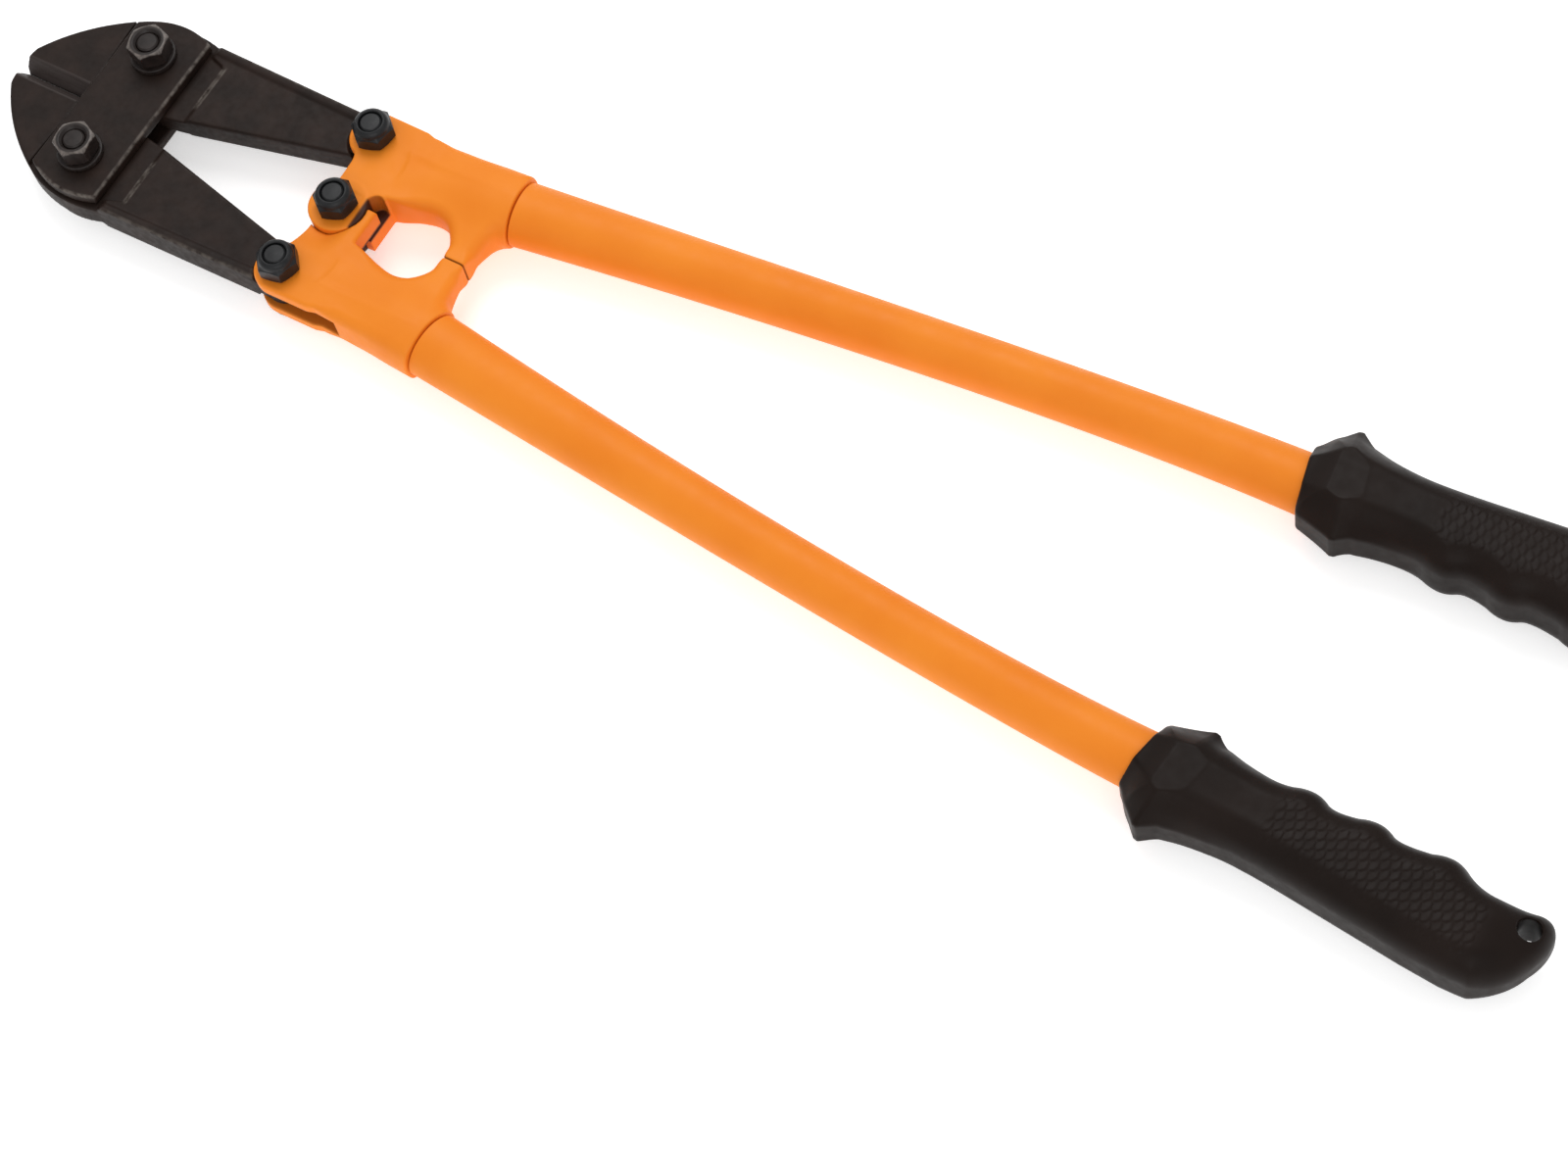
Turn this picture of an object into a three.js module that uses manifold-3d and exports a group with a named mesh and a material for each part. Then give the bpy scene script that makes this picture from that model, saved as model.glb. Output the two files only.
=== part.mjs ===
// Centre-cut bolt cutters of the 600 mm class, closed and lying flat.
// Millimetres. The design frame has the main hinge at its origin: +X runs from the jaws to the grips,
// +Y towards the upper handle, +Z out of the front face, and Z = 0 is the middle of the tool's thickness.
// At the end the whole group is moved so that the origin is at the middle of the underside.

import * as THREE from 'three';
import { mergeVertices } from 'three/addons/utils/BufferGeometryUtils.js';
import Module from 'manifold-3d';

const wasm = await Module();
wasm.setup();

// ---------------------------------------------------------------- driving dimensions

const GAP = 0.3;                    // clearance between pieces that touch
const RUNNING_GAP = 0.6;            // clearance between surfaces that slide past each other

// pivots of the upper side; the lower side is the same turned half a turn about X
const JAW_PIVOT = { x: -92.2, y: 21.8 };
const LINK_PIVOT = { x: -3.8, y: 28.6 };

const TIP_X = -135;                 // front end of the cutting edges
const EDGE_END_X = -108;            // rear end of the cutting edges
const EDGE_Y = 0.15;                // half the gap between the closed cutting edges
const JAW_HALF = 5.7;               // half thickness of a jaw
const RECESS_FLOOR = 3.6;           // height of the milled recess that a side plate lies in
const RECESS_REAR_X = -70;
const PLATE_THICKNESS = 4.0;
const PLATE_FRONT_X = -106.5;
const PLATE_REAR_X = -77.5;
const BEVEL_RISE = 4.2;             // width of the ground bevel beside a cutting edge
const GRIND_LENGTH = 40;            // the grinding cut runs out past the tip
const TANG_HALF = 3.6;              // half thickness of a jaw's tang
const TANG_RADIUS = 7.5;            // its round end about the link pivot

const KNUCKLE_HALF = 8.3;           // half thickness of a knuckle's fork
const WEB_HALF = 6.4;               // half thickness of its web and stop lobe
const SLOT_HALF = TANG_HALF + GAP;  // half width of the slot that takes the tang
const EAR_RADIUS = 9.2;             // round ear about the link pivot
const SHOULDER_RADIUS = EAR_RADIUS + RUNNING_GAP + 0.2;  // hollow end of a jaw's arm
const LUG_RADIUS = 10.2;            // hinge lug, half the knuckle's thickness
const LUG_POCKET_RADIUS = LUG_RADIUS + RUNNING_GAP;
const SHOULDER_X = 13.2;            // outside of the shoulder that wraps round the other knuckle's lug

const BOLT_RADIUS = 4.0;            // M8 throughout
const HEX_FLATS = 13;
const HEAD_HEIGHT = 5.3;
const JAW_NUT_HEIGHT = 6.8;
const LINK_NUT_HEIGHT = 7.8;
const NUT_DOME = 1.6;               // rounded top of the self-locking link nuts
const WASHER_THICKNESS = 2.0;
const WASHER_RADIUS = 8.0;
const BOLT_HOLE_RADIUS = BOLT_RADIUS + 0.25;
const OPEN_PIVOT_RADIUS = 7.1;      // upper jaw's bolt hole, wide enough for the opened linkage

const SEAM = { x: 54, y: 27.8 };     // where a tube meets its knuckle
const TUBE_BEND = { x: 246, y: 50.7 };
const TUBE_KNEE = { x: 329, y: 52.4 };
const TUBE_END = { x: 424, y: 56.5 };    // set outwards, to keep a wall under the finger grooves
const TUBE_SLOPE = Math.atan2(TUBE_BEND.y - SEAM.y, TUBE_BEND.x - SEAM.x);
const TUBE_WALL = 1.8;
const TUBE_HEIGHT_RADIUS = 9.4;     // tube's half height, all along
const SEAM_RADIUS = 11.6;           // tube's half width at the knuckle
const WAIST = { x: 238, radius: 9.1 };  // where the tube is narrowest
const KNEE_RADIUS = 10.0;           // tube's half width at the grip
const SHOULDER_LIP = 0.8;           // the knuckle's shoulder stands this far proud of the tube
const SPIGOT_LENGTH = 24;

const GRIP_FRONT_X = 329;
const GRIP_END_X = 460;
const GRIP_HALF = 14;               // half thickness of a grip's collar
const GRIP_WIDTH = 31;
const GRIP_CORNER = 12;             // rounding of its long edges
const COLLAR_X = 344;               // where the collar has run into the grip's body
const COLLAR_Y = 53.4;
const COLLAR_TILT = 0.22;           // the collar leans back on the inner side
const COLLAR_RADIUS = 21.4;
const RIDGES_X = [379, 400, 422];   // crests between the finger grooves
const RIDGE_Y = 40.6;
const GROOVE_DEPTH = 2.4;
const HANG_HOLE = { x: 452, y: 51.5, radius: 3.8 };

const CIRCLE_STEPS = 28;

// ---------------------------------------------------------------- materials

function paint(color, roughness, metalness) {
  return new THREE.MeshStandardMaterial({ color, roughness, metalness });
}

const BLACK_STEEL = paint(0x2b2523, 0.55, 0.4);
const BLACK_FASTENER = paint(0x24262a, 0.45, 0.6);
const ORANGE_PAINT = paint(0xf0872d, 0.45, 0.0);
const BLACK_GRIP = paint(0x221c1c, 0.5, 0.0);

// ---------------------------------------------------------------- solids and meshes

const group = new THREE.Group();

function solidOf(geometry) {
  const bare = geometry.clone();
  bare.deleteAttribute('normal');
  bare.deleteAttribute('uv');
  const merged = mergeVertices(bare, 1e-3);
  return new wasm.Manifold(new wasm.Mesh({
    numProp: 3,
    vertProperties: new Float32Array(merged.attributes.position.array),
    triVerts: new Uint32Array(merged.index.array),
  }));
}

function geometryOf(solid) {
  const mesh = solid.getMesh();
  const geometry = new THREE.BufferGeometry();
  geometry.setAttribute('position', new THREE.BufferAttribute(mesh.vertProperties, 3));
  geometry.setIndex(new THREE.BufferAttribute(mesh.triVerts, 1));
  return geometry;
}

function addMesh(parent, name, geometry, material) {
  const mesh = new THREE.Mesh(geometry, material);
  mesh.name = name;
  parent.add(mesh);
  return mesh;
}

// Flat slab of a shape between two heights, with both rims chamfered by `bevel`.
function slab(shape, low, high, { bevel = 0, curveSegments = 10 } = {}) {
  const geometry = new THREE.ExtrudeGeometry(shape, {
    depth: high - low - 2 * bevel,
    bevelEnabled: bevel > 0,
    bevelThickness: bevel,
    bevelSize: bevel,
    bevelOffset: -bevel,
    bevelSegments: 1,
    curveSegments,
  });
  geometry.translate(0, 0, low + bevel);
  return solidOf(geometry);
}

function rod(x, y, radius, low, high, steps = CIRCLE_STEPS) {
  const geometry = new THREE.CylinderGeometry(radius, radius, high - low, steps);
  geometry.rotateX(Math.PI / 2);
  geometry.translate(x, y, (low + high) / 2);
  return solidOf(geometry);
}

function box(lowX, highX, lowY, highY, lowZ, highZ) {
  const geometry = new THREE.BoxGeometry(highX - lowX, highY - lowY, highZ - lowZ);
  geometry.translate((lowX + highX) / 2, (lowY + highY) / 2, (lowZ + highZ) / 2);
  return solidOf(geometry);
}

function polygon(points) {
  return new THREE.Shape(points.map(([x, y]) => new THREE.Vector2(x, y)));
}

// ---------------------------------------------------------------- jaws

// Outline of the upper jaw: nose, crown over the pivot, and arm. The arm ends in a hollow arc about
// the link pivot, so that it can swing around the knuckle's round ear.
function jawOutline() {
  const shape = new THREE.Shape();
  const outerAngle = Math.PI - 0.76;
  const innerAngle = Math.PI + 0.92;
  shape.moveTo(TIP_X + 1.2, EDGE_Y);
  shape.lineTo(EDGE_END_X, EDGE_Y);
  shape.lineTo(EDGE_END_X + 6, 2.0);
  shape.lineTo(JAW_PIVOT.x, 2.3);
  shape.lineTo(-74, 5.6);
  shape.absarc(LINK_PIVOT.x, LINK_PIVOT.y, SHOULDER_RADIUS, innerAngle, outerAngle, true);
  shape.lineTo(-76, 36.0);
  shape.quadraticCurveTo(-92, 40.0, -106, 34.0);
  shape.quadraticCurveTo(-124.4, 23.8, TIP_X + 0.8, 8.0);
  shape.quadraticCurveTo(TIP_X, 6, TIP_X, 1.6);
  return shape;
}

// Bevel ground on one face of the nose, from the edge at mid-thickness up to the face.
function edgeGrind() {
  const top = JAW_HALF + 1;
  const wedge = polygon([[-1, 0.4], [0, 0.4], [BEVEL_RISE, JAW_HALF], [BEVEL_RISE, top], [-1, top]]);
  const geometry = new THREE.ExtrudeGeometry(wedge, { depth: GRIND_LENGTH, bevelEnabled: false });
  geometry.rotateX(Math.PI / 2);
  geometry.rotateZ(Math.PI / 2);
  geometry.translate(EDGE_END_X - GRIND_LENGTH, 0, 0);
  return solidOf(geometry);
}

// Everything beyond the arm's shoulder is tang: the shape that stays, seen from the front.
function tangOutline() {
  const shape = new THREE.Shape();
  shape.moveTo(-19, 21.2);
  shape.lineTo(LINK_PIVOT.x - 3, LINK_PIVOT.y - TANG_RADIUS + 0.6);
  shape.absarc(LINK_PIVOT.x, LINK_PIVOT.y, TANG_RADIUS, -Math.PI * 0.6, Math.PI * 0.6, false);
  shape.lineTo(-19, 35.2);
  return shape;
}

// Shallow pocket in the face of the arm that leaves a raised rim along its outer side.
function armPocket() {
  return polygon([[-67, 10], [-18, 20.5], [-16, 29.5], [-67, 30.5]]);
}

// A cutter for the front face together with its mirror image for the rear face.
function forBothFaces(makeCutter) {
  const front = makeCutter();
  const geometry = geometryOf(front);
  geometry.scale(1, 1, -1);
  const index = geometry.index.array;
  for (let i = 0; i < index.length; i += 3) {
    [index[i], index[i + 1]] = [index[i + 1], index[i]];
  }
  return front.add(solidOf(geometry));
}

// Recess for a side plate. Its front wall leans away, so that the jaw can turn under the plate.
function recessOutline() {
  const front = PLATE_FRONT_X - GAP;
  return polygon([[front, -5], [front, 0], [front - 2.2, 45], [RECESS_REAR_X, 45], [RECESS_REAR_X, -5]]);
}

function jawSolid(boltHoleRadius) {
  const recess = () => slab(recessOutline(), RECESS_FLOOR, 12);
  const pocket = () => slab(armPocket(), JAW_HALF - 0.8, 12);
  return slab(jawOutline(), -JAW_HALF, JAW_HALF)
    .add(slab(tangOutline(), -TANG_HALF, TANG_HALF))
    .subtract(forBothFaces(recess))
    .subtract(forBothFaces(pocket))
    .subtract(forBothFaces(edgeGrind))
    .subtract(rod(JAW_PIVOT.x, JAW_PIVOT.y, boltHoleRadius, -20, 20))
    .subtract(rod(LINK_PIVOT.x, LINK_PIVOT.y, BOLT_HOLE_RADIUS, -20, 20));
}

// ---------------------------------------------------------------- side plates

function plateOutline() {
  const shape = new THREE.Shape();
  shape.moveTo(PLATE_FRONT_X, -31.5);
  shape.quadraticCurveTo(-92, -40.5, PLATE_REAR_X, -34.5);
  shape.lineTo(PLATE_REAR_X, 34.5);
  shape.quadraticCurveTo(-92, 40.5, PLATE_FRONT_X, 31.5);
  return shape;
}

function plateSolid() {
  const low = RECESS_FLOOR + GAP;
  return slab(plateOutline(), low, low + PLATE_THICKNESS, { bevel: 0.5 })
    .subtract(rod(JAW_PIVOT.x, JAW_PIVOT.y, BOLT_HOLE_RADIUS, 0, 20))
    .subtract(rod(JAW_PIVOT.x, -JAW_PIVOT.y, BOLT_HOLE_RADIUS, 0, 20));
}

// ---------------------------------------------------------------- fasteners

// Hexagon across `flats`, with its corners on the circle of its circumradius.
function hexagon(flats) {
  const corner = flats / Math.sqrt(3);
  const points = [];
  for (let i = 0; i < 6; i += 1) {
    const angle = (i + 0.5) * Math.PI / 3;
    points.push([corner * Math.cos(angle), corner * Math.sin(angle)]);
  }
  return polygon(points);
}

// Chamfered or domed envelope that trims the corners of a hexagon: a turned profile from z = 0 up.
function turnedBlank(height, crown, faces) {
  const corner = HEX_FLATS / Math.sqrt(3) + 0.2;
  const profile = [new THREE.Vector2(0, 0)];
  if (faces === 2) {
    profile.push(new THREE.Vector2(corner - crown, 0));
    profile.push(new THREE.Vector2(corner, crown * 0.6));
  } else {
    profile.push(new THREE.Vector2(corner, 0));
  }
  profile.push(new THREE.Vector2(corner, height - crown * 0.6));
  profile.push(new THREE.Vector2(corner - crown, height));
  profile.push(new THREE.Vector2(0, height));
  const geometry = new THREE.LatheGeometry(profile, 36);
  geometry.rotateX(Math.PI / 2);
  return solidOf(geometry);
}

function nutSolid(height, crown, faces) {
  return slab(hexagon(HEX_FLATS), 0, height)
    .intersect(turnedBlank(height, crown, faces))
    .subtract(rod(0, 0, BOLT_HOLE_RADIUS, -1, height + 1, 24));
}

// Bolt along Z: hexagon head below `under`, shank up to `top`.
function boltSolid(under, top) {
  const headGeometry = geometryOf(slab(hexagon(HEX_FLATS), 0, HEAD_HEIGHT).intersect(
    turnedBlank(HEAD_HEIGHT, 1.0, 1)));
  headGeometry.rotateX(Math.PI);
  headGeometry.translate(0, 0, under);
  const shank = new THREE.LatheGeometry([
    new THREE.Vector2(0, 0),
    new THREE.Vector2(BOLT_RADIUS, 0),
    new THREE.Vector2(BOLT_RADIUS, top - under),
    new THREE.Vector2(BOLT_RADIUS - 0.8, top - under + 0.8),
    new THREE.Vector2(0, top - under + 0.8),
  ], 24);
  shank.rotateX(Math.PI / 2);
  shank.translate(0, 0, under - 0.5);
  return solidOf(headGeometry).add(solidOf(shank));
}

function washerGeometry() {
  const inner = BOLT_HOLE_RADIUS;
  const geometry = new THREE.LatheGeometry([
    new THREE.Vector2(inner, 0),
    new THREE.Vector2(WASHER_RADIUS, 0),
    new THREE.Vector2(WASHER_RADIUS, WASHER_THICKNESS),
    new THREE.Vector2(inner, WASHER_THICKNESS),
    new THREE.Vector2(inner, 0),
  ], CIRCLE_STEPS);
  geometry.rotateX(Math.PI / 2);
  return geometry;
}

function place(mesh, x, y, z, turn = 0) {
  mesh.position.set(x, y, z);
  mesh.rotation.z = turn;
  return mesh;
}

// ---------------------------------------------------------------- knuckles

// Body of the upper knuckle, seen from the front: ear, outer wall, socket end, stop lobe,
// window edge and the shoulder beside the hinge.
function knuckleOutline() {
  const shape = new THREE.Shape();
  shape.moveTo(-5.6, 6);
  shape.lineTo(-5.8, 16.5);
  shape.quadraticCurveTo(-6.2, 20.3, -8.2, 20.8);
  shape.absarc(LINK_PIVOT.x, LINK_PIVOT.y, EAR_RADIUS, Math.PI * 1.3, Math.PI * 0.5, true);
  shape.lineTo(12, 37.6);
  shape.lineTo(15, 36.8);
  shape.lineTo(29, 37.8);
  shape.lineTo(52.4, 38.6);
  shape.lineTo(53, 18);
  shape.quadraticCurveTo(50.2, 11, 49.4, EDGE_Y);
  shape.lineTo(41.8, EDGE_Y);
  shape.quadraticCurveTo(40.2, 7.6, 35.4, 11.4);
  shape.quadraticCurveTo(31.5, 13.9, 26, 12.4);
  shape.lineTo(SHOULDER_X, 9.4);
  shape.lineTo(SHOULDER_X, -3.4);
  shape.lineTo(8.6, -3.4);
  shape.lineTo(6, 6);
  return shape;
}

// Relief beside the hinge lug, where the other knuckle's shoulder ends.
function notchOutline() {
  const shape = new THREE.Shape();
  shape.moveTo(8, -6);
  shape.lineTo(19, -6);
  shape.lineTo(19, 3.5);
  shape.quadraticCurveTo(14, 9, 11.2, 9);
  shape.quadraticCurveTo(9.4, 9, 8, 6);
  return shape;
}

function forkSlotOutline() {
  const shape = new THREE.Shape();
  shape.moveTo(-30, 18.6);
  shape.lineTo(4, 18.6);
  shape.quadraticCurveTo(12, 19, 17, 27);
  shape.quadraticCurveTo(23.4, 33, 23.4, 50);
  shape.lineTo(-30, 50);
  return shape;
}

// Where the face drops from the fork to the thinner web.
function webStep() {
  const shape = new THREE.Shape();
  shape.moveTo(17, 30.0);
  shape.quadraticCurveTo(12.5, 29.5, 12, 24.5);
  shape.lineTo(14, -8);
  shape.lineTo(70, -8);
  shape.lineTo(70, 32.5);
  shape.lineTo(34, 31.5);
  return shape;
}

// Turned piece along the tube's axis at the seam, flattened to the tube's height.
function alongTube(profile, heightScale) {
  const points = profile.map(([radius, along]) => new THREE.Vector2(radius, along));
  const geometry = new THREE.LatheGeometry(points, CIRCLE_STEPS);
  geometry.rotateZ(-Math.PI / 2);
  geometry.scale(1, 1, heightScale);
  geometry.rotateZ(TUBE_SLOPE);
  geometry.translate(SEAM.x, SEAM.y, 0);
  return solidOf(geometry);
}

function socketSolid() {
  const radius = SEAM_RADIUS + SHOULDER_LIP;
  return alongTube([[0, -34], [6, -34], [radius - 0.6, -14], [radius, -12], [radius, 0], [0, 0]],
    (TUBE_HEIGHT_RADIUS + SHOULDER_LIP) / radius);
}

function spigotSolid() {
  const radius = SEAM_RADIUS - TUBE_WALL - 1.0;
  return alongTube([[0, -2], [radius, -2], [radius - 0.7, SPIGOT_LENGTH - 2], [radius - 2, SPIGOT_LENGTH],
    [0, SPIGOT_LENGTH]], (TUBE_HEIGHT_RADIUS - TUBE_WALL - 0.5) / radius);
}

function knuckleSolid() {
  const step = () => slab(webStep(), WEB_HALF, 12, { curveSegments: 8 });
  const body = slab(knuckleOutline(), -KNUCKLE_HALF, KNUCKLE_HALF);
  const rearPocket = rod(0, 0, LUG_POCKET_RADIUS, -20, GAP / 2);
  const frontNotch = slab(notchOutline(), -GAP / 2, 20, { curveSegments: 6 });
  return body
    .subtract(forBothFaces(step))
    .add(socketSolid())
    .add(spigotSolid())
    .subtract(slab(forkSlotOutline(), -SLOT_HALF, SLOT_HALF, { curveSegments: 8 }))
    .subtract(frontNotch)
    .subtract(rearPocket)
    .add(rod(0, 0, LUG_RADIUS, GAP / 2, KNUCKLE_HALF))
    .subtract(rod(0, 0, BOLT_HOLE_RADIUS, -20, 20, 24))
    .subtract(rod(LINK_PIVOT.x, LINK_PIVOT.y, BOLT_HOLE_RADIUS, -20, 20, 24));
}

// ---------------------------------------------------------------- tubes

// Half width of the tube at a place along X: wide at the knuckle, narrow in the middle.
function tubeHalfWidth(x) {
  const toKnuckle = (SEAM_RADIUS - WAIST.radius) / (WAIST.x - SEAM.x) ** 2;
  const toGrip = (KNEE_RADIUS - WAIST.radius) / (TUBE_KNEE.x - WAIST.x) ** 2;
  const away = Math.min(x, TUBE_KNEE.x) - WAIST.x;
  return WAIST.radius + away * away * (away < 0 ? toKnuckle : toGrip);
}

function tubePath(overrun) {
  const at = ({ x, y }) => new THREE.Vector3(x, y, 0);
  const end = { x: TUBE_END.x + overrun, y: TUBE_END.y };
  const path = new THREE.CurvePath();
  path.add(new THREE.QuadraticBezierCurve3(at(SEAM), at(TUBE_BEND), at(TUBE_KNEE)));
  path.add(new THREE.LineCurve3(at(TUBE_KNEE), at(end)));
  return path;
}

// Round section swept along the path, then widened in Y to the tube's own width at each place.
function sweptTube(radius, overrun) {
  const section = new THREE.Shape();
  section.absarc(0, 0, radius, 0, 2 * Math.PI, false);
  const path = tubePath(overrun);
  const geometry = new THREE.ExtrudeGeometry(section, {
    steps: 14, curveSegments: 10, bevelEnabled: false, extrudePath: path,
  });
  const centres = path.getSpacedPoints(400);
  const position = geometry.attributes.position;
  for (let i = 0; i < position.count; i += 1) {
    const x = position.getX(i);
    const next = Math.max(1, centres.findIndex((centre) => centre.x > x));
    const a = centres[next - 1];
    const b = centres[next];
    const centreY = a.y + (b.y - a.y) * (x - a.x) / (b.x - a.x);
    const wider = tubeHalfWidth(x) - TUBE_HEIGHT_RADIUS;
    const sideways = (position.getY(i) - centreY) / radius;
    position.setY(i, position.getY(i) + wider * sideways);
  }
  return solidOf(geometry);
}

function tubeSolid() {
  const start = box(SEAM.x - 30, SEAM.x + GAP, -60, 60, -20, 20);
  const startGeometry = geometryOf(start);
  startGeometry.translate(-SEAM.x, -SEAM.y, 0);
  startGeometry.rotateZ(TUBE_SLOPE);
  startGeometry.translate(SEAM.x, SEAM.y, 0);
  return sweptTube(TUBE_HEIGHT_RADIUS, 0)
    .subtract(sweptTube(TUBE_HEIGHT_RADIUS - TUBE_WALL, 1))
    .subtract(solidOf(startGeometry));
}

// ---------------------------------------------------------------- grips

// Side view of the upper grip: nearly straight outer side, finger grooves inside, round end.
function gripOutline() {
  const shape = new THREE.Shape();
  shape.moveTo(COLLAR_X, 41);
  shape.quadraticCurveTo(360, 44, RIDGES_X[0], RIDGE_Y);
  for (let i = 1; i < RIDGES_X.length; i += 1) {
    const groove = (RIDGES_X[i - 1] + RIDGES_X[i]) / 2;
    shape.quadraticCurveTo(groove, RIDGE_Y + 2 * GROOVE_DEPTH, RIDGES_X[i], RIDGE_Y + 0.3 * i);
  }
  shape.quadraticCurveTo(438, 47.5, 450, 43.6);
  shape.quadraticCurveTo(456.5, 42.6, 459, 47.5);
  shape.quadraticCurveTo(GRIP_END_X + 1, 54, 456.5, 61.5);
  shape.quadraticCurveTo(451, 72.6, 435, 72.6);
  shape.lineTo(422, 72);
  shape.lineTo(386, 68.6);
  shape.quadraticCurveTo(360, 65.8, COLLAR_X, 67.5);
  return shape;
}

// Rounded log along the grip that its side view is cut from.
function gripLog() {
  const halfHeight = GRIP_HALF - 1;
  const halfWidth = GRIP_WIDTH / 2;
  const flatX = halfHeight - GRIP_CORNER;
  const flatY = halfWidth - GRIP_CORNER;
  const square = new THREE.Shape();
  square.moveTo(-halfHeight, -flatY);
  square.quadraticCurveTo(-halfHeight, -halfWidth, -flatX, -halfWidth);
  square.lineTo(flatX, -halfWidth);
  square.quadraticCurveTo(halfHeight, -halfWidth, halfHeight, -flatY);
  square.lineTo(halfHeight, flatY);
  square.quadraticCurveTo(halfHeight, halfWidth, flatX, halfWidth);
  square.lineTo(-flatX, halfWidth);
  square.quadraticCurveTo(-halfHeight, halfWidth, -halfHeight, flatY);
  const axis = new THREE.LineCurve3(
    new THREE.Vector3(COLLAR_X - 5, 53.4, 0), new THREE.Vector3(470, 60.2, 0));
  return solidOf(new THREE.ExtrudeGeometry(square, {
    steps: 1, curveSegments: 5, bevelEnabled: false, extrudePath: axis,
  }));
}

// Eight-sided collar that flares out in front of the hand.
function collarSolid() {
  const profile = [[0, 0], [13.6, 0], [15.2, 0.8], [COLLAR_RADIUS, 10.6], [COLLAR_RADIUS, 13.6],
    [15.6, 19], [14.6, 25], [0, 25]];
  const geometry = new THREE.LatheGeometry(profile.map(([r, x]) => new THREE.Vector2(r, x)), 8);
  geometry.rotateY(Math.PI / 8);
  geometry.rotateZ(-Math.PI / 2);
  geometry.scale(1, 1, GRIP_HALF / (COLLAR_RADIUS * Math.cos(Math.PI / 8)));
  geometry.rotateZ(COLLAR_TILT);
  geometry.translate(GRIP_FRONT_X, COLLAR_Y, 0);
  return solidOf(geometry);
}

function gripSolid() {
  return slab(gripOutline(), -GRIP_HALF - 1, GRIP_HALF + 1, { curveSegments: 8 })
    .intersect(gripLog())
    .add(collarSolid())
    .subtract(sweptTube(TUBE_HEIGHT_RADIUS + GAP, 1))
    .subtract(rod(HANG_HOLE.x, HANG_HOLE.y, HANG_HOLE.radius, -30, 30, 24));
}

// ---------------------------------------------------------------- assembly

const jawGeometry = geometryOf(jawSolid(BOLT_HOLE_RADIUS));
const looseJawGeometry = geometryOf(jawSolid(OPEN_PIVOT_RADIUS));
const knuckleGeometry = geometryOf(knuckleSolid());
const tubeGeometry = geometryOf(tubeSolid());
const gripGeometry = geometryOf(gripSolid());
const plateGeometry = geometryOf(plateSolid());

for (const side of ['upper', 'lower']) {
  const half = new THREE.Group();
  half.rotation.x = side === 'upper' ? 0 : Math.PI;
  addMesh(half, `${side}_jaw`, side === 'upper' ? looseJawGeometry : jawGeometry, BLACK_STEEL);
  addMesh(half, `${side}_knuckle`, knuckleGeometry, ORANGE_PAINT);
  addMesh(half, `${side}_tube`, tubeGeometry, ORANGE_PAINT);
  addMesh(half, `${side}_grip`, gripGeometry, BLACK_GRIP);
  group.add(half);
}

addMesh(group, 'front_side_plate', plateGeometry, BLACK_STEEL);
addMesh(group, 'rear_side_plate', plateGeometry, BLACK_STEEL).rotation.x = Math.PI;

const plateTop = RECESS_FLOOR + GAP + PLATE_THICKNESS;
const jawNutLow = plateTop + GAP + WASHER_THICKNESS + GAP;
const jawBoltTop = jawNutLow + JAW_NUT_HEIGHT;
const linkNutLow = KNUCKLE_HALF + GAP;
const linkBoltTop = linkNutLow + LINK_NUT_HEIGHT;

const jawBoltGeometry = geometryOf(boltSolid(-plateTop - GAP, jawBoltTop));
const linkBoltGeometry = geometryOf(boltSolid(-KNUCKLE_HALF - GAP, linkBoltTop));
const jawNutGeometry = geometryOf(nutSolid(JAW_NUT_HEIGHT, 1.0, 2));
const linkNutGeometry = geometryOf(nutSolid(LINK_NUT_HEIGHT, NUT_DOME, 1));

function addFastener(name, boltGeometry, nutGeometry, pivot, nutLow, turn) {
  place(addMesh(group, `${name}_bolt`, boltGeometry, BLACK_FASTENER), pivot.x, pivot.y, 0, turn);
  place(addMesh(group, `${name}_nut`, nutGeometry, BLACK_FASTENER), pivot.x, pivot.y, nutLow, turn);
}

const below = ({ x, y }) => ({ x, y: -y });

addFastener('upper_jaw', jawBoltGeometry, jawNutGeometry, JAW_PIVOT, jawNutLow, 0.25);
addFastener('lower_jaw', jawBoltGeometry, jawNutGeometry, below(JAW_PIVOT), jawNutLow, 0.1);
addFastener('upper_link', linkBoltGeometry, linkNutGeometry, LINK_PIVOT, linkNutLow, 0.35);
addFastener('lower_link', linkBoltGeometry, linkNutGeometry, below(LINK_PIVOT), linkNutLow, 0.2);
addFastener('hinge', linkBoltGeometry, linkNutGeometry, { x: 0, y: 0 }, linkNutLow, 0.4);

for (const [side, pivot] of [['upper', JAW_PIVOT], ['lower', below(JAW_PIVOT)]]) {
  const washer = addMesh(group, `${side}_jaw_washer`, washerGeometry(), BLACK_FASTENER);
  place(washer, pivot.x, pivot.y, plateTop + GAP);
}

const bounds = new THREE.Box3().setFromObject(group);
const middle = bounds.getCenter(new THREE.Vector3());
group.position.set(-middle.x, -middle.y, -bounds.min.z);

export default group;
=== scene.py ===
"""Bolt cutters, closed and lying flat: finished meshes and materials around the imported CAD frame.

Sizes are in millimetres in the tool's own frame: the hinge's axis is at x = 0, y = 0, the grips are
towards +X, the upper handle is towards +Y, and z = 0 is the middle of the tool's thickness. Each
forged, cast or moulded piece is a signed distance field that is negative inside the piece, and
`surface` turns it into a mesh. The lower half is the upper half turned over about the X axis.
"""

import math

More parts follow.
